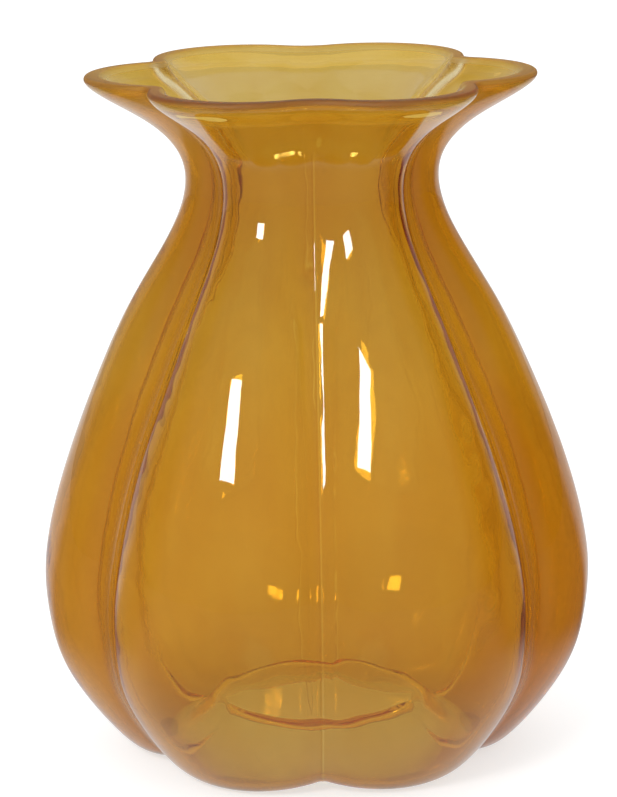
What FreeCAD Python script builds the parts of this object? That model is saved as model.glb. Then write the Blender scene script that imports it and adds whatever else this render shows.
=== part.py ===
import FreeCAD, Part
import math
import os
import Sketcher

# Six-lobed gourd vase, blown in one piece of amber glass.
#
# Frame: millimetres, +Z up, origin on the vertical axis at the level of the
# table.  Lobe crests point at 0, 60, 120 ... degrees from +X; the creases lie
# between them at 30, 90, 150 ... degrees, so one crease runs down the front (-Y).
#
# The vessel is one continuous wall.  Seven closed radial sections (crease, two
# on the flank, crest, two on the flank, crease) make one lobe of sixty degrees,
# from the lip down the flared mouth, neck, body and heel, under the foot, up the
# pushed-up base and back up the inside of the wall.  The lobe is repeated round
# the axis, a lens of glass closes the middle of the base, and the six lobe
# bottoms are ground to small flats in one plane, on which the vase stands.

doc = FreeCAD.newDocument("gourd_vase")
sheet = doc.addObject("Spreadsheet::Sheet", "Dims")
_row = [1]


def cell(alias, value):
    """One driving dimension: a plain number under an alias."""
    row = _row[0]
    sheet.set("A%d" % row, alias)
    sheet.set("B%d" % row, "%.6g" % value)
    sheet.setAlias("B%d" % row, alias)
    _row[0] = row + 1


# ---------------------------------------------------------------- main sizes
MAIN = (
    ("tall", 290.0),            # table to lip
    ("belly", 115.8),           # axis to a lobe crest at the widest level
    ("lobes", 6),               # number of lobes
    ("step_angle", 10.0),       # angle between neighbouring sections
    ("wall", 4.0),              # wall at the crest of a lobe
    ("crease_wall", 4.9),       # wall measured at the crease
    ("lip_round", 1.6),         # fire-polished outer edge of the lip
    ("kick_height", 18.0),      # level of the pushed-up base, under side
    ("floor_wall", 4.0),        # glass of the pushed-up base
    ("hole_rad", 9.0),          # where a section ends beside the axis
    ("lens_rad", 20.0),         # lens of glass in the middle of the base
    ("lens_top", 0.9),          # lens above the floor at the axis
    ("lens_low", 0.5),          # lens below the underside at the axis
    ("lens_edge", 1.2),         # lens edge buried inside the floor, each side
    ("trim_rad", 140.0),        # radius of the plane that grinds the foot
    ("trim_deep", 6.0),
    ("blend_flank", 0.55243),   # crest share 20 degrees off the crest
    ("blend_near", 0.88759),    # crest share 10 degrees off the crest
)
for name, value in MAIN:
    cell(name, value)

# Poles of the section splines.  R is a share of the belly radius, Z a share of
# the height.  OUT runs from the lip down the outside to the contact, UND from
# the contact up the pushed-up base, INN from the lip's inner edge down the
# inside to the floor; DIR is the direction in which the wall is thick there.
OUT_CREST_R = (0.81088, 0.81088, 0.58220, 0.44474, 0.45910, 0.54033, 0.67346, 0.77652, 0.87636, 0.95634,
               1.01044, 0.99047, 0.94646, 0.72539, 0.65630, 0.58808)
OUT_CREST_Z = (0.99448, 0.98138, 0.94083, 0.88017, 0.81309, 0.74965, 0.66671, 0.57740, 0.47868, 0.38316,
               0.28077, 0.20108, 0.12345, 0.01241, -0.00121, -0.00121)
OUT_GROOVE_R = (0.64870, 0.64870, 0.47868, 0.36435, 0.36362, 0.38634, 0.47417, 0.60161, 0.73359, 0.80719,
                0.86825, 0.86307, 0.84046, 0.65430, 0.59855, 0.54104)
OUT_GROOVE_Z = (0.99448, 0.98138, 0.94083, 0.88017, 0.81309, 0.74965, 0.66671, 0.57740, 0.47868, 0.38316,
                0.28077, 0.20142, 0.12655, 0.02414, 0.01483, 0.01483)
UND_CREST_R = (0.58808, 0.54404, 0.48791, 0.41710, 0.37478)
UND_CREST_Z = (-0.00121, -0.00121, 0.00862, 0.03621, 0.06207)
UND_GROOVE_R = (0.54104, 0.50777, 0.46978, 0.41192, 0.37306)
UND_GROOVE_Z = (0.01483, 0.01483, 0.02172, 0.03966, 0.06207)
INN_CREST_R = (0.75302, 0.72934, 0.70896, 0.53128, 0.41769, 0.53369, 0.66820, 0.77870, 0.87251, 0.95458,
               1.00932, 0.99145, 0.96194, 0.90907, 0.85100, 0.78578, 0.72179, 0.60679, 0.48187, 0.41423,
               0.36776, 0.37478)
INN_CREST_Z = (1.00000, 0.98509, 0.95406, 0.92994, 0.84428, 0.75464, 0.66999, 0.57618, 0.48202, 0.38610,
               0.28440, 0.20299, 0.15317, 0.11017, 0.07670, 0.04548, 0.01436, -0.00809, 0.00782, 0.04159,
               0.06207, 0.06207)
INN_GROOVE_R = (0.59326, 0.57618, 0.57741, 0.43418, 0.34450, 0.38475, 0.46803, 0.60399, 0.72907, 0.80583,
                0.86647, 0.86386, 0.84794, 0.80734, 0.76009, 0.70464, 0.65358, 0.55384, 0.46377, 0.41000,
                0.36639, 0.37306)
INN_GROOVE_Z = (1.00000, 0.98658, 0.95378, 0.93003, 0.84424, 0.75466, 0.66998, 0.57618, 0.48201, 0.38612,
                0.28438, 0.20339, 0.15527, 0.11463, 0.08350, 0.05501, 0.02674, 0.00974, 0.02107, 0.04378,
                0.06207, 0.06207)
DIR_CREST_R = (-0.00000, -0.16770, -0.49060, -0.60740, -1.15740, -0.77190, -0.90410, -0.91160, -0.94090,
               -0.95840, -1.00520, -0.99530, -0.95610, -0.85000, -0.80250, -0.75890, -0.71320, -0.09320,
               0.68610, 0.67560, 1.09890, 0.00000)
DIR_CREST_Z = (0.00000, 0.28760, 0.90250, 0.95020, -0.13140, -0.60880, -0.46100, -0.39670, -0.34510,
               -0.29530, -0.09100, 0.17620, 0.29790, 0.54920, 0.59560, 0.63730, 0.75580, 1.05360, 0.97220,
               0.27070, 1.00000, 1.00000)
DIR_GROOVE_R = (-0.00000, -0.19230, -0.61990, -0.70050, -1.09770, -0.93560, -0.90490, -0.84950, -0.92860,
                -0.96600, -0.99210, -1.00610, -0.98360, -0.88190, -0.79100, -0.72100, -0.63410, -0.03370,
                0.49840, 0.53130, 0.88320, 0.00000)
DIR_GROOVE_Z = (0.00000, 0.22790, 0.90210, 0.77620, -0.00660, -0.26660, -0.47330, -0.51170, -0.39030,
                -0.26410, -0.15150, 0.09020, 0.19900, 0.49460, 0.52950, 0.55010, 0.65700, 0.87980, 0.79980,
                0.28110, 0.81630, 0.81630)

NAMES = ("OUT", "UND", "INN", "DIR")
TABLES = {
    "out": (OUT_CREST_R, OUT_CREST_Z, OUT_GROOVE_R, OUT_GROOVE_Z),
    "und": (UND_CREST_R, UND_CREST_Z, UND_GROOVE_R, UND_GROOVE_Z),
    "inn": (INN_CREST_R, INN_CREST_Z, INN_GROOVE_R, INN_GROOVE_Z),
    "dir": (DIR_CREST_R, DIR_CREST_Z, DIR_GROOVE_R, DIR_GROOVE_Z),
}
for key, group in TABLES.items():
    for part_name, column in zip(("crest_rad", "crest_lev", "groove_rad", "groove_lev"), group):
        for i, value in enumerate(column):
            cell("%s_%s_%02d" % (key, part_name, i), value)
doc.recompute()
D = {name: float(sheet.get(name)) for name, _ in MAIN}

BLEND = {"groove": ("0", 0.0), "flank": ("Dims.blend_flank", D["blend_flank"]),
         "near": ("Dims.blend_near", D["blend_near"]), "crest": ("1", 1.0)}


def mix(groove_expr, crest_expr, groove_value, crest_value, kind):
    """Value and expression of a size between the crease and the crest."""
    text, share = BLEND[kind]
    if kind == "groove":
        return groove_value, groove_expr
    if kind == "crest":
        return crest_value, crest_expr
    return (groove_value + (crest_value - groove_value) * share,
            "%s + (%s - (%s)) * %s" % (groove_expr, crest_expr, groove_expr, text))


def pole(key, i, kind):
    """Radius and height of one pole, each as (value, expression)."""
    cr, cz, gr, gz = (column[i] for column in TABLES[key])
    r = mix("Dims.belly * Dims.%s_groove_rad_%02d" % (key, i),
            "Dims.belly * Dims.%s_crest_rad_%02d" % (key, i), D["belly"] * gr, D["belly"] * cr, kind)
    z = mix("Dims.tall * Dims.%s_groove_lev_%02d" % (key, i),
            "Dims.tall * Dims.%s_crest_lev_%02d" % (key, i), D["tall"] * gz, D["tall"] * cz, kind)
    return r, z


def inner_pole(i, kind):
    """A pole of the inner wall: the foot on the outer wall plus the wall."""
    cr, cz, gr, gz = (column[i] for column in TABLES["inn"])
    dcr, dcz, dgr, dgz = (column[i] for column in TABLES["dir"])
    r = mix("(Dims.belly * Dims.inn_groove_rad_%02d + Dims.crease_wall * Dims.dir_groove_rad_%02d)" % (i, i),
            "(Dims.belly * Dims.inn_crest_rad_%02d + Dims.wall * Dims.dir_crest_rad_%02d)" % (i, i),
            D["belly"] * gr + D["crease_wall"] * dgr, D["belly"] * cr + D["wall"] * dcr, kind)
    z = mix("(Dims.tall * Dims.inn_groove_lev_%02d + Dims.crease_wall * Dims.dir_groove_lev_%02d)" % (i, i),
            "(Dims.tall * Dims.inn_crest_lev_%02d + Dims.wall * Dims.dir_crest_lev_%02d)" % (i, i),
            D["tall"] * gz + D["crease_wall"] * dgz, D["tall"] * cz + D["wall"] * dcz, kind)
    return r, z


def origin_feature(body, role):
    for feature in body.Origin.OriginFeatures:
        if feature.Role == role:
            return feature
    raise RuntimeError("no origin feature " + role)


def spline(poles):
    """Clamped cubic spline through an even knot vector."""
    count = len(poles)
    mults = [4] + [1] * (count - 4) + [4]
    knots = [float(k) for k in range(len(mults))]
    curve = Part.BSplineCurve()
    curve.buildFromPolesMultsKnots([FreeCAD.Vector(r, z, 0) for r, z in poles], mults, knots, False, 3)
    return curve


def pole_constraints(sketch, geo, exprs, tag):
    """Constraints that bind every pole of a spline to the sheet."""
    first = sketch.GeometryCount
    sketch.exposeInternalGeometry(geo)
    wanted = []
    for i, ((rv, rx), (zv, zx)) in enumerate(exprs):
        circle = first + i
        wanted.append((Sketcher.Constraint("DistanceX", -1, 1, circle, 3, rv), "%s_rad_%02d" % (tag, i), rx))
        wanted.append((Sketcher.Constraint("DistanceY", -1, 1, circle, 3, zv), "%s_lev_%02d" % (tag, i), zx))
    return wanted


def add_named(sketch, wanted):
    """Add constraints in one go, then name them and bind them to the sheet."""
    first = sketch.ConstraintCount
    sketch.addConstraint([item[0] for item in wanted])
    for k, (constraint, name, expression) in enumerate(wanted):
        if name:
            sketch.renameConstraint(first + k, name)
            sketch.setExpression("Constraints." + name, expression)


def named(sketch, constraint, name, expression):
    add_named(sketch, [(constraint, name, expression)])


def section(body, label, index, kind):
    """Closed radial section of the wall, turned about the axis by index steps."""
    sketch = body.newObject("Sketcher::SketchObject", label)
    sketch.AttachmentSupport = [(origin_feature(body, "XZ_Plane"), "")]
    sketch.MapMode = "FlatFace"
    angle = index * D["step_angle"]
    if index:
        turn = FreeCAD.Rotation(FreeCAD.Vector(0, 1 if index > 0 else -1, 0), abs(angle))
        sketch.AttachmentOffset = FreeCAD.Placement(FreeCAD.Vector(0, 0, 0), turn)
        sketch.setExpression("AttachmentOffset.Rotation.Angle", "%d * Dims.step_angle" % abs(index))

    outer = [pole("out", i, kind) for i in range(len(OUT_CREST_R))]
    under = [pole("und", i, kind) for i in range(len(UND_CREST_R))]
    inner = [inner_pole(i, kind) for i in range(len(INN_CREST_R))]
    # The lip, the underside's end and the floor lie at levels of their own.
    outer[0] = (outer[0][0], (D["tall"] - D["lip_round"], "Dims.tall - Dims.lip_round"))
    under[0] = outer[-1]
    under[-1] = (under[-1][0], (D["kick_height"], "Dims.kick_height"))
    inner[0] = (inner[0][0], (D["tall"], "Dims.tall"))
    floor = (D["kick_height"] + D["floor_wall"], "Dims.kick_height + Dims.floor_wall")
    inner[-1] = (inner[-1][0], floor)
    inner[-2] = (inner[-2][0], floor)

    def xy(items):
        return [(r[0], z[0]) for r, z in items]

    V = FreeCAD.Vector
    o, u, n = xy(outer), xy(under), xy(inner)
    hole, low, top = D["hole_rad"], D["kick_height"], floor[0]
    rad = D["lip_round"]
    g_out = sketch.addGeometry(spline(o), False)
    wanted = pole_constraints(sketch, g_out, outer, "outer")
    g_und = sketch.addGeometry(spline(u), False)
    wanted += pole_constraints(sketch, g_und, under, "under")
    g_inn = sketch.addGeometry(spline(n), False)
    wanted += pole_constraints(sketch, g_inn, inner, "inner")
    g_ceil = sketch.addGeometry(Part.LineSegment(V(u[-1][0], low, 0), V(hole, low, 0)), False)
    g_hole = sketch.addGeometry(Part.LineSegment(V(hole, low, 0), V(hole, top, 0)), False)
    g_floor = sketch.addGeometry(Part.LineSegment(V(hole, top, 0), V(n[-1][0], top, 0)), False)
    g_top = sketch.addGeometry(Part.LineSegment(V(n[0][0], D["tall"], 0), V(o[0][0] - rad, D["tall"], 0)), False)
    centre = V(o[0][0] - rad, o[0][1], 0)
    g_lip = sketch.addGeometry(Part.ArcOfCircle(Part.Circle(centre, V(0, 0, 1), rad), 0.0, math.pi / 2), False)

    C = Sketcher.Constraint
    wanted += [(c, None, None) for c in (
        C("Coincident", g_ceil, 1, g_und, 2),
        C("Coincident", g_ceil, 2, g_hole, 1),
        C("Horizontal", g_ceil),
        C("Coincident", g_hole, 2, g_floor, 1),
        C("Vertical", g_hole),
        C("Coincident", g_floor, 2, g_inn, 2),
        C("Horizontal", g_floor),
        C("Coincident", g_top, 1, g_inn, 1),
        C("Coincident", g_lip, 1, g_out, 1),
        C("Coincident", g_lip, 2, g_top, 2),
        C("Horizontal", g_top),
        C("Vertical", g_lip, 3, g_lip, 2),
        C("Horizontal", g_lip, 3, g_lip, 1),
    )]
    wanted.append((C("DistanceX", -1, 1, g_hole, 1, hole), "hole_rad", "Dims.hole_rad"))
    add_named(sketch, wanted)
    return sketch


# ------------------------------------------------------------------ the vessel
body = doc.addObject("PartDesign::Body", "glass_vessel")
body.Label = "glass_vessel"

# Lens of glass in the middle of the base: slightly domed floor above, soft
# button below, its edge buried in the floor of the lobes.
lens = body.newObject("Sketcher::SketchObject", "lens_section")
lens.AttachmentSupport = [(origin_feature(body, "XZ_Plane"), "")]
lens.MapMode = "FlatFace"
z_top = D["kick_height"] + D["floor_wall"]
z_low = D["kick_height"]
a_top = (0.0, z_top + D["lens_top"])
b_top = (D["lens_rad"], z_top - D["lens_edge"])
b_low = (D["lens_rad"], z_low + D["lens_edge"])
a_low = (0.0, z_low - D["lens_low"])


def cap(apex, edge, up):
    """Arc with its centre on the axis, through the apex and the edge."""
    drop = abs(apex[1] - edge[1])
    radius = (edge[0] ** 2 + drop ** 2) / (2.0 * drop)
    centre = FreeCAD.Vector(0, apex[1] - radius * up, 0)
    angle = math.asin(edge[0] / radius)
    circle = Part.Circle(centre, FreeCAD.Vector(0, 0, 1), radius)
    if up > 0:
        return Part.ArcOfCircle(circle, math.pi / 2 - angle, math.pi / 2)
    return Part.ArcOfCircle(circle, 3 * math.pi / 2, 3 * math.pi / 2 + angle)


V = FreeCAD.Vector
l_top = lens.addGeometry(cap(a_top, b_top, 1), False)      # starts at the edge, ends at the apex
l_edge = lens.addGeometry(Part.LineSegment(V(b_top[0], b_top[1], 0), V(b_low[0], b_low[1], 0)), False)
l_low = lens.addGeometry(cap(a_low, b_low, -1), False)     # starts at the apex, ends at the edge
l_axis = lens.addGeometry(Part.LineSegment(V(0, a_low[1], 0), V(0, a_top[1], 0)), False)
add = lens.addConstraint
add(Sketcher.Constraint("Coincident", l_top, 1, l_edge, 1))
add(Sketcher.Constraint("Coincident", l_edge, 2, l_low, 2))
add(Sketcher.Constraint("Coincident", l_low, 1, l_axis, 1))
add(Sketcher.Constraint("Coincident", l_axis, 2, l_top, 2))
add(Sketcher.Constraint("PointOnObject", l_axis, 1, -2))
add(Sketcher.Constraint("PointOnObject", l_axis, 2, -2))
add(Sketcher.Constraint("PointOnObject", l_top, 3, -2))
add(Sketcher.Constraint("PointOnObject", l_low, 3, -2))
add(Sketcher.Constraint("Vertical", l_edge))
named(lens, Sketcher.Constraint("DistanceX", -1, 1, l_edge, 1, D["lens_rad"]), "lens_rad", "Dims.lens_rad")
named(lens, Sketcher.Constraint("DistanceY", -1, 1, l_edge, 1, b_top[1]), "edge_top",
      "Dims.kick_height + Dims.floor_wall - Dims.lens_edge")
named(lens, Sketcher.Constraint("DistanceY", -1, 1, l_edge, 2, b_low[1]), "edge_low",
      "Dims.kick_height + Dims.lens_edge")
named(lens, Sketcher.Constraint("DistanceY", -1, 1, l_axis, 2, a_top[1]), "apex_top",
      "Dims.kick_height + Dims.floor_wall + Dims.lens_top")
named(lens, Sketcher.Constraint("DistanceY", -1, 1, l_axis, 1, a_low[1]), "apex_low",
      "Dims.kick_height - Dims.lens_low")
doc.recompute()
base_lens = body.newObject("PartDesign::Revolution", "base_lens")
base_lens.Profile = lens
base_lens.ReferenceAxis = (lens, ["V_Axis"])
base_lens.Angle = 360.0
doc.recompute()

# One lobe, lofted through its seven radial sections.
KINDS = ("groove", "flank", "near", "crest", "near", "flank", "groove")
sections = [section(body, "lobe_section_%d" % k, k - 3, kind) for k, kind in enumerate(KINDS)]
doc.recompute()
lobe = body.newObject("PartDesign::AdditiveLoft", "lobe_wall")
lobe.Profile = sections[0]
lobe.Sections = sections[1:]
lobe.Ruled = False
lobe.Closed = False
doc.recompute()
one_lobe = body.Shape.Volume

# All the lobes round the vertical axis.
ring = body.newObject("PartDesign::PolarPattern", "lobe_ring")
ring.Originals = [lobe]
ring.Axis = (origin_feature(body, "Z_Axis"), [""])
ring.Angle = 360.0
ring.setExpression("Occurrences", "Dims.lobes")
body.Tip = ring
doc.recompute()
before = body.Shape.Volume
print("one lobe and lens %.1f, all lobes %.1f mm3" % (one_lobe, before))
if before < 5.0 * (one_lobe - base_lens.Shape.Volume):
    raise RuntimeError("the lobes were not repeated")

# The foot: everything below the table plane is ground off.
trim_sketch = body.newObject("Sketcher::SketchObject", "foot_plane")
trim_sketch.AttachmentSupport = [(origin_feature(body, "XY_Plane"), "")]
trim_sketch.MapMode = "FlatFace"
g = trim_sketch.addGeometry(Part.Circle(V(0, 0, 0), V(0, 0, 1), D["trim_rad"]), False)
trim_sketch.addConstraint(Sketcher.Constraint("Coincident", g, 3, -1, 1))
named(trim_sketch, Sketcher.Constraint("Radius", g, D["trim_rad"]), "trim_rad", "Dims.trim_rad")
doc.recompute()
foot = body.newObject("PartDesign::Pocket", "foot_grinding")
foot.Profile = trim_sketch
foot.Type = "Length"
foot.setExpression("Length", "Dims.trim_deep")
foot.Reversed = False
doc.recompute()
after = body.Shape.Volume
print("ground off the foot: %.2f mm3" % (before - after))
if not (0.0 < before - after < 0.01 * before):
    raise RuntimeError("the foot was not ground as intended")

# -------------------------------------------------------------------- checks
bad = []
for obj in doc.Objects:
    state = list(obj.State)
    if "Invalid" in state or "Error" in state:
        bad.append((obj.Name, state))
if bad:
    raise RuntimeError("objects in error: %r" % bad)
SUBPARTS = [body]
for obj in SUBPARTS:
    shape = obj.Shape
    if shape.isNull() or not shape.isValid():
        raise RuntimeError("bad shape: " + obj.Label)
    if len(shape.Solids) != 1:
        raise RuntimeError("%s has %d solids" % (obj.Label, len(shape.Solids)))

os.makedirs("parts", exist_ok=True)
for obj in SUBPARTS:
    shape = obj.Shape
    shape.exportStep("parts/%s.step" % obj.Label)
    box = shape.BoundBox
    print("%s: volume %.1f mm3, faces %d, x %.2f..%.2f, y %.2f..%.2f, z %.3f..%.3f" % (
        obj.Label, shape.Volume, len(shape.Faces), box.XMin, box.XMax, box.YMin, box.YMax, box.ZMin, box.ZMax))
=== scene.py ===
import math

import bpy
import numpy as np
from mathutils import Matrix, Vector


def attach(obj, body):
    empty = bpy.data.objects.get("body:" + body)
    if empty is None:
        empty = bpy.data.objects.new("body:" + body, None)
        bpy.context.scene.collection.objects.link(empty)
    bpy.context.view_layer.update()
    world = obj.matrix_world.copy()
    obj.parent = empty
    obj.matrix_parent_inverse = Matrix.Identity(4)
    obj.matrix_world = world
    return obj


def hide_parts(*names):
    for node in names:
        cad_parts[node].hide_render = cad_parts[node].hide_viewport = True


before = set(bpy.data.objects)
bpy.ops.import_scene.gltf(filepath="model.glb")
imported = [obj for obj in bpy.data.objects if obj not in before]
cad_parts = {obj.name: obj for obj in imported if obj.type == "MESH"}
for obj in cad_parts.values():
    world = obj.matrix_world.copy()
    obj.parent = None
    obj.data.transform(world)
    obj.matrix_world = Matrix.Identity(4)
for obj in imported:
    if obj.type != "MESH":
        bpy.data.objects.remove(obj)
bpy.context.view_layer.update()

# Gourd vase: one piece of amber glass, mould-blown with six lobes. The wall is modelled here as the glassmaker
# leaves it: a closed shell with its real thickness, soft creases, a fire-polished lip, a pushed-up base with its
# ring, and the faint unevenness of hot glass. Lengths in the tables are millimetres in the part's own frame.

scene = bpy.context.scene

# ---------------------------------------------------------------------------------------------------------------
# Meridians of the wall, as poles (radius, height): along a lobe's crest and along a crease
# ---------------------------------------------------------------------------------------------------------------
CREST = [(93.9, 288.4), (93.9, 284.6), (67.42, 272.84), (51.5, 255.25), (53.16, 235.8), (62.57, 217.4),
         (77.99, 193.35), (89.92, 167.45), (101.48, 138.82), (110.74, 111.12), (117.01, 81.42), (114.7, 58.31),
         (109.6, 35.8), (84.0, 3.6), (76.0, -0.35), (68.1, -0.35)]
CREASE = [(75.12, 288.4), (75.12, 284.6), (55.43, 272.84), (42.19, 255.25), (42.11, 235.8), (44.74, 217.4),
          (54.91, 193.35), (69.67, 167.45), (84.95, 138.82), (93.47, 111.12), (100.54, 81.42), (99.94, 58.41),
          (97.32, 36.7), (75.77, 7.0), (69.31, 4.3), (62.65, 4.3)]
KICK_CREST = [(68.1, -0.35), (63.0, -0.35), (56.5, 2.5), (48.3, 10.5), (43.4, 18.0)]
KICK_CREASE = [(62.65, 4.3), (58.8, 4.3), (54.4, 6.3), (47.7, 11.5), (43.2, 18.0)]
TOP = 290.0            # height of the lip's top face
TOP_CREST = 87.2       # inner edge of the top face at a crest and at a crease
TOP_CREASE = 68.7
LIP_ROUND = 1.6        # outer rounding of the lip
LIP_SOFT = 1.0         # fire-polished rounding of the inner edge
CEILING = 18.0         # underside of the pushed-up base
FLOOR = 22.0           # its upper face
WALL = 4.0             # wall of the body
BASE_WALL = 4.0        # wall of the pushed-up base
CREASE_EXTRA = 0.4     # more glass behind a crease
LOBES = 6


def bspline(poles, t):
    """Clamped uniform cubic B-spline at the parameters t."""
    poles = np.asarray(poles, float)
    n, k = len(poles), 3
    knots = np.concatenate([np.zeros(k), np.linspace(0, 1, n - k + 1), np.ones(k)])
    t = np.clip(np.asarray(t, float), 0, 1 - 1e-12)
    basis = [((knots[i] <= t) & (t < knots[i + 1])).astype(float) for i in range(len(knots) - 1)]
    for d in range(1, k + 1):
        nxt = []
        for i in range(len(knots) - d - 1):
            a, b = knots[i + d] - knots[i], knots[i + d + 1] - knots[i + 1]
            v = np.zeros_like(t)
            if a > 0:
                v = v + (t - knots[i]) / a * basis[i]
            if b > 0:
                v = v + (knots[i + d + 1] - t) / b * basis[i + 1]
            nxt.append(v)
        basis = nxt
    return sum(basis[i][:, None] * poles[i] for i in range(n))


def even(poles, step, first=None, last=None):
    """Parameters along a spline about `step` apart, finer towards an end where a finer step is given."""
    t = np.linspace(0, 1, 4001)
    p = bspline(poles, t)
    s = np.concatenate([[0], np.cumsum(np.linalg.norm(np.diff(p, axis=0), axis=1))])
    length = s[-1]
    out, at = [0.0], 0.0
    while True:
        here = step
        if first:
            here = min(here, first + (step - first) * at / 14.0)
        if last:
            here = min(here, last + (step - last) * (length - at) / 14.0)
        at += here
        if at > length - 0.5 * here:
            break
        out.append(at)
    out.append(length)
    return np.interp(out, s, t)


# Rounding of the six valleys between the lobes, mm: (height, radius) pairs. The glassmaker's tool leaves the one in
# front and the one behind it softer towards the waist than the others.
SOFT_VALLEY = [(0, 9), (150, 8), (195, 9), (212, 17), (230, 26), (250, 28), (290, 22)]
FIRM_VALLEY = [(0, 14), (60, 19), (130, 19), (180, 15), (215, 10), (260, 7), (290, 6)]
BACK_VALLEY = [(0, 16), (60, 23), (130, 23), (180, 18), (215, 12), (260, 8), (290, 7)]
VALLEYS = {30: BACK_VALLEY, 90: SOFT_VALLEY, 150: BACK_VALLEY, 210: FIRM_VALLEY, 270: SOFT_VALLEY, 330: FIRM_VALLEY}


# columns: fine beside each crease, coarser over the lobe
half = np.concatenate([np.arange(0, 2.4, 0.2), np.arange(2.4, 6.0, 0.4), np.arange(6.0, 15.0, 0.9),
                       np.linspace(15.0, 30.0, 14)])
offs = np.concatenate([half, 60 - half[::-1][1:-1]])       # 0 .. <60 from one crease to the next
PHI = np.radians(np.concatenate([30 + 60 * k + offs for k in range(LOBES)]))
NC = len(PHI)
fold = np.mod(np.degrees(PHI) - 30, 60)
OFF = np.radians(np.minimum(fold, 60 - fold))               # angle from the nearest crease


def valley_radius(phi, z):
    """Rounding of the valley nearest to each azimuth, for rows of height z. Gives (rows, columns)."""
    k = np.mod(np.floor(np.degrees(phi) / 60.0).astype(int), 6) * 60 + 30
    out = np.zeros((len(z), len(phi)))
    for at, table in VALLEYS.items():
        h, v = np.array(table, float).T
        here = k == at
        out[:, here] = np.interp(z, h, v)[:, None]
    return out


def ring(crest, crease, phi=None, off=None):
    """Rows of the wall: crest and crease are (n, 2) rows of radius and height. Gives (n, columns, 3).
    Each lobe is the arc of a circle, and each valley the arc of a smaller one that meets two lobes smoothly."""
    phi = PHI if phi is None else phi
    off = OFF if off is None else off
    crest, crease = np.asarray(crest, float), np.asarray(crease, float)
    Rc, q = crest[:, :1], crease[:, :1] / crest[:, :1]
    c30, s30 = math.cos(math.radians(30)), 0.5
    A = (1 - q * q) / (2 * (1 - c30 * q))                 # lobe's centre and radius, as shares of the crest's radius
    al = 1 - A
    be = valley_radius(phi, crest[:, 1]) / Rc
    th = math.radians(30) + np.arcsin(np.clip(s30 * A / (al + be), 0, 0.999))
    B = 2 * (al + be) * np.sin(th)                         # valley's centre
    pj = np.arctan2(al * np.sin(th), A + al * np.cos(th))  # where the two arcs meet
    p = math.radians(30) - off[None]
    lobe = A * np.cos(p) + np.sqrt(np.maximum(al ** 2 - (A * np.sin(p)) ** 2, 0))
    dip = B * np.cos(off[None]) - np.sqrt(np.maximum(be ** 2 - (B * np.sin(off[None])) ** 2, 0))
    r = np.where(p <= pj, lobe, dip)
    w = np.clip((r - q) / np.maximum(1 - q, 1e-6), 0, 1)
    z = crease[:, 1:] + (crest[:, 1:] - crease[:, 1:]) * w
    r = r * Rc
    return np.stack([r * np.cos(phi), r * np.sin(phi), z + 0 * r], 2)


# ---- outer surface, from the top face's outer edge down to the middle of the underside
a = np.linspace(math.pi / 2, 0, 9)[:-1]
arc = lambda R: np.stack([R - LIP_ROUND + LIP_ROUND * np.cos(a), TOP - LIP_ROUND + LIP_ROUND * np.sin(a)], 1)
lip_rows = ring(arc(CREST[0][0]), arc(CREASE[0][0]))

t_wall = even(CREST, 1.7, first=0.5, last=0.9)
wall_rows = ring(bspline(CREST, t_wall), bspline(CREASE, t_wall))
t_kick = even(KICK_CREST, 0.9)[1:]
kick_crest, kick_crease = bspline(KICK_CREST, t_kick), bspline(KICK_CREASE, t_kick)


def rounded(path, radius):
    """Cuts the end of path back by radius and joins it to the flat ceiling with a small curve."""
    s = np.linalg.norm(np.diff(path, axis=0), axis=1)[::-1].cumsum()[::-1]
    keep = np.concatenate([s > radius, [False]])
    p0, p1 = path[keep][-1], path[-1]
    u = (p1 - p0) / np.linalg.norm(p1 - p0)
    q0, q2 = p1 - u * radius, p1 - np.array([radius, 0.0])
    tt = np.linspace(0, 1, 7)[:, None]
    bend = (1 - tt) ** 2 * q0 + 2 * tt * (1 - tt) * p1 + tt ** 2 * q2
    return path[keep], bend


kc, bend_c = rounded(kick_crest, 2.6)
kg, bend_g = rounded(kick_crease, 2.6)
n_keep = min(len(kc), len(kg))
kick_rows = ring(np.concatenate([kc[:n_keep], bend_c]), np.concatenate([kg[:n_keep], bend_g]))

# the flat ceiling of the pushed-up base, round from here on
r_flat = np.concatenate([np.linspace(40.2, 24, 14), np.linspace(22.5, 1.5, 16), [0.6]])


def lens(r):
    return np.clip(1 - (r / 39.0) ** 2, 0, None) ** 2


fade = np.clip((40.8 - r_flat) / 6.0, 0, 1)
edge_r = np.hypot(kick_rows[-1][:, 0], kick_rows[-1][:, 1])
rr = r_flat[:, None] * (1 + (edge_r[None] / 40.8 - 1) * (1 - fade[:, None]))
flat_rows = np.stack([rr * np.cos(PHI), rr * np.sin(PHI), CEILING - 0.05 * lens(rr)], 2)

outer = np.concatenate([lip_rows, wall_rows, kick_rows, flat_rows])
n_lip, n_wall, n_kick, n_flat = len(lip_rows), len(wall_rows), len(kick_rows), len(flat_rows)


def normals(g):
    """Unit normals of a grid closed in its second direction, pointing away from the glass for an outer grid."""
    du = np.gradient(g, axis=0)
    gp = np.concatenate([g[:, -1:], g, g[:, :1]], 1)
    dv = gp[:, 2:] - gp[:, :-2]
    n = np.cross(dv, du)
    n /= np.maximum(np.linalg.norm(n, axis=2, keepdims=True), 1e-12)
    return n


N = normals(outer)
probe = n_lip + n_wall // 2
if (N[probe, :, 0] * outer[probe, :, 0] + N[probe, :, 1] * outer[probe, :, 1]).mean() < 0:
    N = -N

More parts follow.
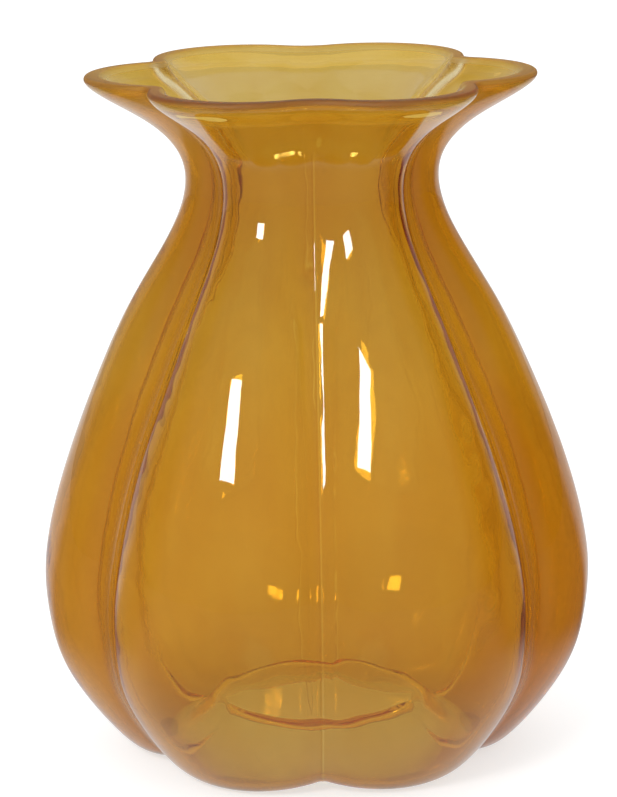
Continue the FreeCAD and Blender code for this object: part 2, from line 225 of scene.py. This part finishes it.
# ---- inner surface: the outer one moved in by the wall's thickness
z_out = outer[:, :, 2]
base = np.clip((40 - z_out) / 40, 0, 1) ** 1.5
base[n_lip + n_wall:] = 1.0
thick = WALL + (BASE_WALL - WALL) * base
radius_out = np.hypot(outer[:, :, 0], outer[:, :, 1])
away = radius_out * OFF[None]
thick = thick + CREASE_EXTRA * np.exp(-(away / 5.0) ** 2) * np.clip((z_out - 4) / 20, 0, 1) * np.clip((284 - z_out) / 16, 0, 1)
inner_all = outer - N * thick[:, :, None]
inner_all[n_lip + n_wall + n_kick:, :, :2] = outer[n_lip + n_wall + n_kick:, :, :2]
inner_all[n_lip + n_wall + n_kick:, :, 2] = FLOOR + 0.1 * lens(rr)

# the offset is clean from a little below the lip on; above that the lip's own curve joins it to the top face
start = n_lip + int(np.argmax(bspline(CREST, t_wall)[:, 0] < 78.5))
inner = inner_all[start:]
p3 = inner[0]
d3 = inner[1] - inner[0]
d3 /= np.linalg.norm(d3, axis=1, keepdims=True)
phi3 = np.arctan2(p3[:, 1], p3[:, 0])
f3 = np.mod(np.degrees(phi3) - 30, 60)
off3 = np.radians(np.minimum(f3, 60 - f3))
p0 = ring([(TOP_CREST, TOP)], [(TOP_CREASE, TOP)], phi=phi3, off=off3)[0]
out = np.stack([np.cos(phi3), np.sin(phi3), 0 * phi3], 1)
L = np.linalg.norm(p3 - p0, axis=1, keepdims=True)
p1 = p0 + (-0.62 * out + np.array([0, 0, -0.78])) * L * 0.33
p2 = p3 - d3 * L * 0.38
tt = np.linspace(0, 1, 15)[:-1, None, None]
join = (1 - tt) ** 3 * p0 + 3 * (1 - tt) ** 2 * tt * p1 + 3 * (1 - tt) * tt ** 2 * p2 + tt ** 3 * p3
down = (p1 - p0) / np.linalg.norm(p1 - p0, axis=1, keepdims=True)
q0, q2 = p0 + out * LIP_SOFT, p0 + down * LIP_SOFT
tb = np.linspace(0, 1, 6)[:, None, None]
soft_edge = (1 - tb) ** 2 * q0 + 2 * tb * (1 - tb) * p0 + tb ** 2 * q2
far = np.linalg.norm(join - p0, axis=2).min(axis=1)
join = join[far > LIP_SOFT * 1.3]
top_out, top_in = lip_rows[0], q0
tf = np.linspace(0, 1, 6)[1:-1, None, None]
top_face = top_in + (top_out - top_in) * tf
top_face[:, :, 2] = TOP
rim = np.concatenate([top_face[::-1], soft_edge, join])     # from the outer edge inwards and down

# ---- hot glass is never quite even: a slow, mostly upright waviness, stronger inside than outside


def waviness(g, amount, seed):
    rs = np.random.default_rng(seed)
    phi = np.arctan2(g[:, :, 1], g[:, :, 0])
    z = g[:, :, 2] / 1000.0
    v = np.zeros(phi.shape)
    for _ in range(26):
        k = rs.integers(3, 34)
        m = rs.normal(0, 9.0)
        v += np.cos(k * phi + 2 * math.pi * m * z + rs.uniform(0, 2 * math.pi)) * rs.uniform(0.4, 1.0) / (1 + k / 14)
    v /= v.std()
    fine = np.zeros(phi.shape)
    for _ in range(24):
        k = rs.integers(9, 40)
        m = rs.normal(0, 42.0)
        fine += np.cos(k * phi + 2 * math.pi * m * z + rs.uniform(0, 2 * math.pi))
    return v * amount + fine / fine.std() * amount * 0.34


def ruffle(g, n, amount, seed):
    r = np.hypot(g[:, :, 0], g[:, :, 1])
    hold = np.clip((r - 50) / 12, 0, 1) * np.clip((g[:, :, 2] - 2.0) / 12, 0, 1)
    hold = np.maximum(hold, np.clip((g[:, :, 2] - 60.0) / 30, 0, 1))
    hold = hold * (0.45 + 0.55 * np.clip((g[:, :, 2] - 45.0) / 40, 0, 1))
    return g + n * (waviness(g, amount, seed) * hold)[:, :, None]


n_in = -normals(inner)
if (n_in[len(inner) // 3, :, 0] * inner[len(inner) // 3, :, 0]).mean() < 0:
    n_in = -n_in
body = slice(n_lip + 12, None)
outer_w = outer.copy()
ease = np.clip((np.arange(len(outer)) - n_lip) / 24.0, 0, 1)[:, None, None]
outer_w += (ruffle(outer, N, 0.05, 5) - outer) * ease

# the mould's two halves leave a hair-fine seam down the front valley and the one behind it
seam_at = np.abs(np.sin((np.degrees(PHI) - 90) * math.pi / 180)) * radius_out
seam_at = np.where(np.abs(np.cos(PHI)) < 0.2, seam_at, 99.0)
seam = 0.09 * np.exp(-(seam_at / 0.38) ** 2) * np.clip((266 - z_out) / 6, 0, 1)
outer_w += N * seam[:, :, None] * ease
ease_in = np.clip(np.arange(len(inner)) / 16.0, 0, 1)[:, None, None]
inner_w = inner + (ruffle(inner, n_in, 0.085, 9) - inner) * ease_in

# the table's plane grinds the lobes' undersides flat
outer_w[:, :, 2] = np.maximum(outer_w[:, :, 2], 0.0)

# ---- one closed mesh: underside centre -> out -> up the wall -> lip -> down inside -> floor centre
rows = np.concatenate([outer_w[::-1], rim, inner_w])
NR = len(rows)
verts = np.concatenate([[[0, 0, CEILING - 0.05]], rows.reshape(-1, 3), [[0, 0, FLOOR + 0.1]]]) / 1000.0
i = np.arange(NR - 1)[:, None] * NC
j = np.arange(NC)[None]
j1 = (j + 1) % NC
quads = np.stack([1 + i + j, 1 + i + j1, 1 + i + NC + j1, 1 + i + NC + j], 2).reshape(-1, 4)
jj, jj1 = np.arange(NC), (np.arange(NC) + 1) % NC
last = 1 + (NR - 1) * NC
cap0 = np.stack([np.zeros(NC, int), 1 + jj1, 1 + jj], 1)
cap1 = np.stack([np.full(NC, len(verts) - 1), last + jj, last + jj1], 1)

mesh = bpy.data.meshes.new("gourd_vase_glass")
mesh.from_pydata(verts.tolist(), [], quads.tolist() + cap0.tolist() + cap1.tolist())
mesh.update()
signed = 0.0
tri = np.concatenate([quads[:, [0, 1, 2]], quads[:, [0, 2, 3]], cap0, cap1])
v0, v1, v2 = verts[tri[:, 0]], verts[tri[:, 1]], verts[tri[:, 2]]
signed = float((v0 * np.cross(v1, v2)).sum() / 6)
if signed < 0:
    mesh.flip_normals()
mesh.polygons.foreach_set("use_smooth", np.ones(len(mesh.polygons), bool))

# how strongly each point of the surface is stained: the outer face is, the inner one isn't, and under the foot and
# over the ground lip the stain runs out
lip_fade = np.linspace(0.7, 1.0, n_lip)
kick_fade = 0.16 + 0.74 * np.linspace(1.0, 0.0, n_kick) ** 4
outer_coat = np.concatenate([lip_fade, np.ones(n_wall), kick_fade, np.full(n_flat, 0.16)])
rim_coat = np.concatenate([np.full(len(top_face), 0.7), np.linspace(0.6, 0.1, len(soft_edge)), np.zeros(len(join))])
coat_rows = np.concatenate([outer_coat[::-1], rim_coat, np.zeros(len(inner_w))])
coat_and_painted_light = np.repeat(coat_rows[:, None], NC, axis=1)
# over it lies painted shade and light: painted shade deepens the valleys, the four side ones much more than the front
# and back ones, and the two side lobes, the right one most and more so low down; it is a little deeper towards the
# bottom, deeper at the waist and lighter around 180 mm up; a painted highlight runs down the seam's ridge with a
# painted shade line just left of it
on_wall = slice(len(outer) - n_lip - n_wall, len(outer) - n_lip)
wall_z = outer[::-1][on_wall][:, :, 2]
wall_away = away[::-1][on_wall]
# painted shade: the stain is deepened in the valleys, far more in the four side valleys than in the front and back
# ones
valley_shade_share = np.where(np.abs(np.cos(PHI)) < 0.5, 0.03, 0.17)[None]
valley_shade = 1 + valley_shade_share * np.exp(-(wall_away / 13.0) ** 2)
# painted shade: the two side lobes are stained deeper, the right one most, more so below 170 mm, and everything a
# little deeper near the bottom
side_lobe_shade = (0.24 * np.clip(np.cos(PHI), 0, 1) ** 3 + 0.09 * np.clip(-np.cos(PHI), 0, 1) ** 3)[None]
side_lobe_shade = 1 + side_lobe_shade * (1 + 0.8 * np.clip((170 - wall_z) / 60, 0, 1)) + 0.06 * np.clip((42 - wall_z) / 30, 0, 1)
waist = 1 + 0.06 * np.exp(-((wall_z - 236) / 20.0) ** 2) - 0.12 * np.exp(-((wall_z - 178) / 34.0) ** 2)
# painted highlight down the seam's ridge, where the stain is thinned, and a painted shade line just left of the seam
wall_seam = seam_at[::-1][on_wall]
turned = np.where(np.cos(PHI) < 0, 1.0, 0.0)[None]
seam_highlight_and_shade = 1 - 0.42 * np.exp(-(wall_seam / 0.30) ** 2) + 0.20 * turned * np.exp(-((wall_seam - 0.75) / 0.35) ** 2)
seam_highlight_and_shade = 1 + (seam_highlight_and_shade - 1) * np.clip((266 - wall_z) / 6, 0, 1)
coat_and_painted_light[on_wall] *= valley_shade * side_lobe_shade * waist * seam_highlight_and_shade
# painted shade along the inner ridges behind the creases, stronger behind the four side valleys
inner_ridge_shade = np.exp(-(away[start:] / 5.0) ** 2) * np.clip((inner[:, :, 2] - 30) / 20, 0, 1)
inner_ridge_shade = inner_ridge_shade * np.where(np.abs(np.cos(PHI)) < 0.5, 0.04, 0.20)[None]
coat_and_painted_light[len(outer) + len(rim):] = inner_ridge_shade
coat_and_painted_light[len(outer) + len(top_face) + len(soft_edge):len(outer) + len(rim)] = inner_ridge_shade[:1]
coat_and_painted_light = np.concatenate([[0.16], coat_and_painted_light.reshape(-1), [0.0]]).astype(np.float32)
mesh.attributes.new("stain_and_painted_light", "FLOAT", "POINT").data.foreach_set("value", coat_and_painted_light)

# the four side valleys were chilled by the mould's ribs: their skin is duller than the lobes'
dull = np.zeros((len(coat_rows), NC))
ribs = np.where(np.abs(np.cos(PHI)) < 0.5, 0.0, 1.0)[None]
dull[on_wall] = np.exp(-(wall_away / 3.6) ** 2) * ribs * np.clip((wall_z - 6) / 20, 0, 1)
dull = np.concatenate([[0.0], dull.reshape(-1), [0.0]]).astype(np.float32)
mesh.attributes.new("chill", "FLOAT", "POINT").data.foreach_set("value", dull)
mesh.update()
vase = bpy.data.objects.new("gourd_vase_glass", mesh)
scene.collection.objects.link(vase)
print("glass volume, litres: %.4f" % abs(signed * 1000), "rows", NR, "columns", NC)

# ---------------------------------------------------------------------------------------------------------------
# Amber glass: clear glass with a faint warmth of its own, stained amber on its outer face
# ---------------------------------------------------------------------------------------------------------------
glass = bpy.data.materials.new("amber_glass")
glass.use_nodes = True
nt = glass.node_tree
nt.nodes.clear()
out_node = nt.nodes.new("ShaderNodeOutputMaterial")
surf = nt.nodes.new("ShaderNodeBsdfPrincipled")
surf.inputs["Roughness"].default_value = 0.0
surf.inputs["IOR"].default_value = 1.5
surf.inputs["Transmission Weight"].default_value = 1.0
nt.links.new(surf.outputs["BSDF"], out_node.inputs["Surface"])


def gmath(kind, x, y=None, z=None, clamp=False):
    """A math node of the glass, fed with sockets or numbers."""
    n = nt.nodes.new("ShaderNodeMath")
    n.operation = kind
    n.use_clamp = clamp
    for k, v in enumerate((x, y, z)):
        if v is None:
            continue
        if isinstance(v, (int, float)):
            n.inputs[k].default_value = v
        else:
            nt.links.new(v, n.inputs[k])
    return n.outputs[0]


# the lip's top face and the foot's flats are ground and only half polished; the wall itself is fire-bright
spot = nt.nodes.new("ShaderNodeTexCoord").outputs["Object"]
axes = nt.nodes.new("ShaderNodeSeparateXYZ")
nt.links.new(spot, axes.inputs[0])
height = axes.outputs["Z"]
lip_part = gmath("MULTIPLY", gmath("SUBTRACT", height, 0.2874), 1200.0, clamp=True)
foot_part = gmath("MULTIPLY", gmath("SUBTRACT", 0.0004, height), 4000.0, clamp=True)
grain = nt.nodes.new("ShaderNodeTexNoise")
grain.inputs["Scale"].default_value = 900.0
grain.inputs["Detail"].default_value = 3.0
nt.links.new(spot, grain.inputs["Vector"])
ground = gmath("MAXIMUM", lip_part, foot_part)

# amber stain: its depth varies a little in slow upright streaks, and finely from place to place
streak_map = nt.nodes.new("ShaderNodeMapping")
streak_map.inputs["Scale"].default_value = (1.0, 1.0, 0.14)
nt.links.new(spot, streak_map.inputs["Vector"])
streak = nt.nodes.new("ShaderNodeTexNoise")
streak.inputs["Scale"].default_value = 75.0
streak.inputs["Detail"].default_value = 2.0
streak.inputs["Roughness"].default_value = 0.45
nt.links.new(streak_map.outputs["Vector"], streak.inputs["Vector"])
cloud = nt.nodes.new("ShaderNodeTexNoise")
cloud.inputs["Scale"].default_value = 14.0
cloud.inputs["Detail"].default_value = 1.0
nt.links.new(spot, cloud.inputs["Vector"])
depth = gmath("MULTIPLY_ADD", streak.outputs["Fac"], 0.22, 0.79)
depth = gmath("MULTIPLY_ADD", cloud.outputs["Fac"], 0.20, depth)
# the attribute holds the stain together with the painted shade and painted highlight laid on it above
stain_and_painted_light = nt.nodes.new("ShaderNodeAttribute")
stain_and_painted_light.attribute_name = "stain_and_painted_light"
amber = nt.nodes.new("ShaderNodeGamma")
amber.inputs["Color"].default_value = (0.590, 0.275, 0.0125, 1)
nt.links.new(gmath("MULTIPLY", stain_and_painted_light.outputs["Fac"], depth), amber.inputs["Gamma"])
nt.links.new(amber.outputs["Color"], surf.inputs["Base Color"])
matt = gmath("MULTIPLY_ADD", grain.outputs["Fac"], 0.25, 0.45)
chill = nt.nodes.new("ShaderNodeAttribute")
chill.attribute_name = "chill"
skin = gmath("MULTIPLY", chill.outputs["Fac"], gmath("MULTIPLY_ADD", cloud.outputs["Fac"], 0.16, 0.24))
nt.links.new(gmath("MAXIMUM", gmath("MULTIPLY", ground, matt), skin), surf.inputs["Roughness"])
tint = nt.nodes.new("ShaderNodeVolumeAbsorption")
tint.inputs["Color"].default_value = (0.93, 0.80, 0.45, 1)
tint.inputs["Density"].default_value = 18.0
nt.links.new(tint.outputs["Volume"], out_node.inputs["Volume"])
mesh.materials.append(glass)

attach(vase, "root")
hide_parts("glass_vessel")

# ---------------------------------------------------------------------------------------------------------------
# Floor, light and camera
# ---------------------------------------------------------------------------------------------------------------
floor_mesh = bpy.data.meshes.new("studio_floor")
floor_mesh.from_pydata([(-6, -6, 0), (6, -6, 0), (6, 6, 0), (-6, 6, 0)], [], [(0, 1, 2, 3)])
floor = bpy.data.objects.new("studio_floor", floor_mesh)
floor.location.z = -0.0002
scene.collection.objects.link(floor)
# what the gloss of the glass sees round the vase: 0 and 1 behind it, 0.25 left, 0.5 in front, 0.75 right
STUDIO = [(0.0, 0.85), (0.135, 0.75), (0.175, 0.16), (0.22, 0.14), (0.31, 0.42), (0.50, 0.48), (0.68, 0.34),
          (0.76, 0.05), (0.84, 0.04), (0.88, 0.65), (1.0, 0.85)]


def fill_ramp(node, behind=1.0):
    node.color_ramp.interpolation = "EASE"
    while len(node.color_ramp.elements) < len(STUDIO):
        node.color_ramp.elements.new(0.5)
    for el, (at, v) in zip(node.color_ramp.elements, STUDIO):
        el.position = at
    for el, (at, v) in zip(node.color_ramp.elements, STUDIO):
        v *= behind if abs(at - 0.5) > 0.35 else 1.0
        el.color = (v, v, v, 1)


pale = bpy.data.materials.new("studio_white")
pale.use_nodes = True
pb = pale.node_tree.nodes["Principled BSDF"]
pb.inputs["Base Color"].default_value = (0.62, 0.62, 0.615, 1)
pb.inputs["Roughness"].default_value = 0.9
pb.inputs["Specular IOR Level"].default_value = 0.1
pb.inputs["Emission Color"].default_value = (1, 1, 1, 1)
# the table glows: plain white straight to the camera, a softer painted glow where the glass shows it, brightest close
# to the foot
ft = pale.node_tree
rays = ft.nodes.new("ShaderNodeLightPath")


def fmath(kind, x, y=None, z=None):
    """A math node of the table, fed with sockets or numbers."""
    n = ft.nodes.new("ShaderNodeMath")
    n.operation = kind
    for k, v in enumerate((x, y, z)):
        if v is None:
            continue
        if isinstance(v, (int, float)):
            n.inputs[k].default_value = v
        else:
            ft.links.new(v, n.inputs[k])
    return n.outputs[0]


def fade_out(radius, full, none):
    """1 inside `full` metres from the vase's axis, 0 beyond `none`."""
    n = ft.nodes.new("ShaderNodeMapRange")
    n.interpolation_type = "SMOOTHSTEP"
    n.inputs["From Min"].default_value, n.inputs["From Max"].default_value = none, full
    ft.links.new(radius, n.inputs["Value"])
    return n.outputs["Result"]


place = ft.nodes.new("ShaderNodeTexCoord").outputs["Object"]
far_off = ft.nodes.new("ShaderNodeVectorMath")
far_off.operation = "LENGTH"
ft.links.new(place, far_off.inputs[0])
radius = far_off.outputs["Value"]
# painted glow: as the glass sees it the table glows softer, brighter within about a metre of the vase and brightest at
# the foot
seen_through = fmath("MULTIPLY_ADD", fade_out(radius, 0.45, 1.1), 0.15, 0.20)
seen_through = fmath("MULTIPLY_ADD", fade_out(radius, 0.065, 0.11), 0.04, seen_through)
spread = ft.nodes.new("ShaderNodeSeparateXYZ")
ft.links.new(place, spread.inputs[0])
round_it = fmath("ARCTAN2", spread.outputs["X"], fmath("MULTIPLY", spread.outputs["Y"], -1.0))
studio = ft.nodes.new("ShaderNodeValToRGB")
fill_ramp(studio)
ft.links.new(fmath("MULTIPLY_ADD", round_it, 0.5 / math.pi, 0.5), studio.inputs["Fac"])
# painted reflection: mirrored rays see the studio ramp painted into the table's glow, 0.75 close to the foot, over a
# nearly black base colour
near = fade_out(radius, 0.12, 0.24)
seen_in_gloss = fmath("MULTIPLY_ADD", fmath("SUBTRACT", 0.75, studio.outputs["Color"]), near, studio.outputs["Color"])
mirrored = fmath("MULTIPLY", rays.outputs["Is Glossy Ray"], rays.outputs["Is Reflection Ray"])
glow = fmath("MULTIPLY_ADD", fmath("SUBTRACT", seen_in_gloss, seen_through), mirrored, seen_through)
glow = fmath("MULTIPLY_ADD", fmath("SUBTRACT", 0.62, glow), rays.outputs["Is Camera Ray"], glow)
ft.links.new(glow, pb.inputs["Emission Strength"])
shade = fmath("MULTIPLY_ADD", mirrored, -0.58, 0.62)
paper = ft.nodes.new("ShaderNodeCombineColor")
for k in range(3):
    ft.links.new(shade, paper.inputs[k])
ft.links.new(paper.outputs["Color"], pb.inputs["Base Color"])
floor_mesh.materials.append(pale)

world = bpy.data.worlds.new("studio")
scene.world = world
world.use_nodes = True
wt = world.node_tree
bg = wt.nodes["Background"]
bg.inputs["Color"].default_value = (1, 1, 1, 1)


def wmath(kind, x, y=None, z=None):
    """A math node of the world, fed with sockets or numbers."""
    n = wt.nodes.new("ShaderNodeMath")
    n.operation = kind
    for k, v in enumerate((x, y, z)):
        if v is None:
            continue
        if isinstance(v, (int, float)):
            n.inputs[k].default_value = v
        else:
            wt.links.new(v, n.inputs[k])
    return n.outputs[0]


# what the gloss of the glass sees: a soft front, dark sides behind the vase, a bright wall straight behind it
where = wt.nodes.new("ShaderNodeTexCoord").outputs["Generated"]
split = wt.nodes.new("ShaderNodeSeparateXYZ")
wt.links.new(where, split.inputs[0])
azim = wmath("ARCTAN2", split.outputs["X"], wmath("MULTIPLY", split.outputs["Y"], -1.0))
turn = wmath("MULTIPLY_ADD", azim, 0.5 / math.pi, 0.5)      # 0 and 1 behind, 0.25 left, 0.5 in front, 0.75 right
ramp = wt.nodes.new("ShaderNodeValToRGB")
fill_ramp(ramp, behind=0.55)
wt.links.new(turn, ramp.inputs["Fac"])
ray = wt.nodes.new("ShaderNodeLightPath")
plain = wmath("MULTIPLY_ADD", ray.outputs["Is Camera Ray"], 0.15, 0.88)
gloss = wmath("SUBTRACT", ramp.outputs["Color"], plain)
mirrored = wmath("MULTIPLY", ray.outputs["Is Glossy Ray"], ray.outputs["Is Reflection Ray"])
wt.links.new(wmath("MULTIPLY_ADD", gloss, mirrored, plain), bg.inputs["Strength"])

AIM = Vector((0, 0, 0.145))


def softbox(name, az, el, width, height, distance, radiance):
    """A rectangular light at that azimuth (0 = the camera's side, positive to the right) and elevation, in degrees."""
    az, el = math.radians(az), math.radians(el)
    d = Vector((math.sin(az) * math.cos(el), -math.cos(az) * math.cos(el), math.sin(el)))
    w, h = 2 * distance * math.tan(math.radians(width) / 2), 2 * distance * math.tan(math.radians(height) / 2)
    data = bpy.data.lights.new(name, "AREA")
    data.shape = "RECTANGLE"
    data.size, data.size_y = w, h
    data.energy = radiance * math.pi * w * h
    ob = bpy.data.objects.new(name, data)
    ob.location = AIM + d * distance
    ob.rotation_euler = (-d).to_track_quat("-Z", "Y").to_euler()
    ob.visible_camera = False
    scene.collection.objects.link(ob)
    return ob


softbox("softbox_main", -24, 28.6, 14, 10.8, 1.4, 24)


# the photograph's camera
ELEV, DIST, FOCAL_PX, ROLL = math.radians(13.52), 1.5475, 3660.5, math.radians(0.763)
TURN = math.radians(-1.0)         # the crease in front stands a little right of the vase's axis
fwd = Vector((-math.sin(TURN) * math.cos(ELEV), math.cos(TURN) * math.cos(ELEV), -math.sin(ELEV)))
right = Vector((math.cos(TURN), math.sin(TURN), 0))
up = right.cross(fwd)
r2 = right * math.cos(ROLL) - up * math.sin(ROLL)
u2 = right * math.sin(ROLL) + up * math.cos(ROLL)
# the optical axis of the fit is 6.5 px right of and 13.6 px below the frame's centre
f2 = (fwd * FOCAL_PX - r2 * 6.5 + u2 * 13.6).normalized()
r3 = (r2 - f2 * r2.dot(f2)).normalized()
u3 = r3.cross(f2)
cam_data = bpy.data.cameras.new("camera")
cam_data.sensor_fit = "AUTO"
cam_data.sensor_width = 36.0
cam_data.lens = FOCAL_PX / 797.0 * 36.0
cam_data.clip_start, cam_data.clip_end = 0.05, 50.0
cam = bpy.data.objects.new("camera", cam_data)
m = Matrix.Identity(4)
for k, v in enumerate((r3, u3, -f2)):
    for row in range(3):
        m[row][k] = v[row]
m.translation = AIM - fwd * DIST
cam.matrix_world = m
scene.collection.objects.link(cam)
scene.camera = cam

scene.view_settings.view_transform = "Standard"
scene.view_settings.look = "None"
scene.cycles.max_bounces = 96
scene.cycles.transmission_bounces = 48
scene.cycles.glossy_bounces = 96
scene.cycles.diffuse_bounces = 4
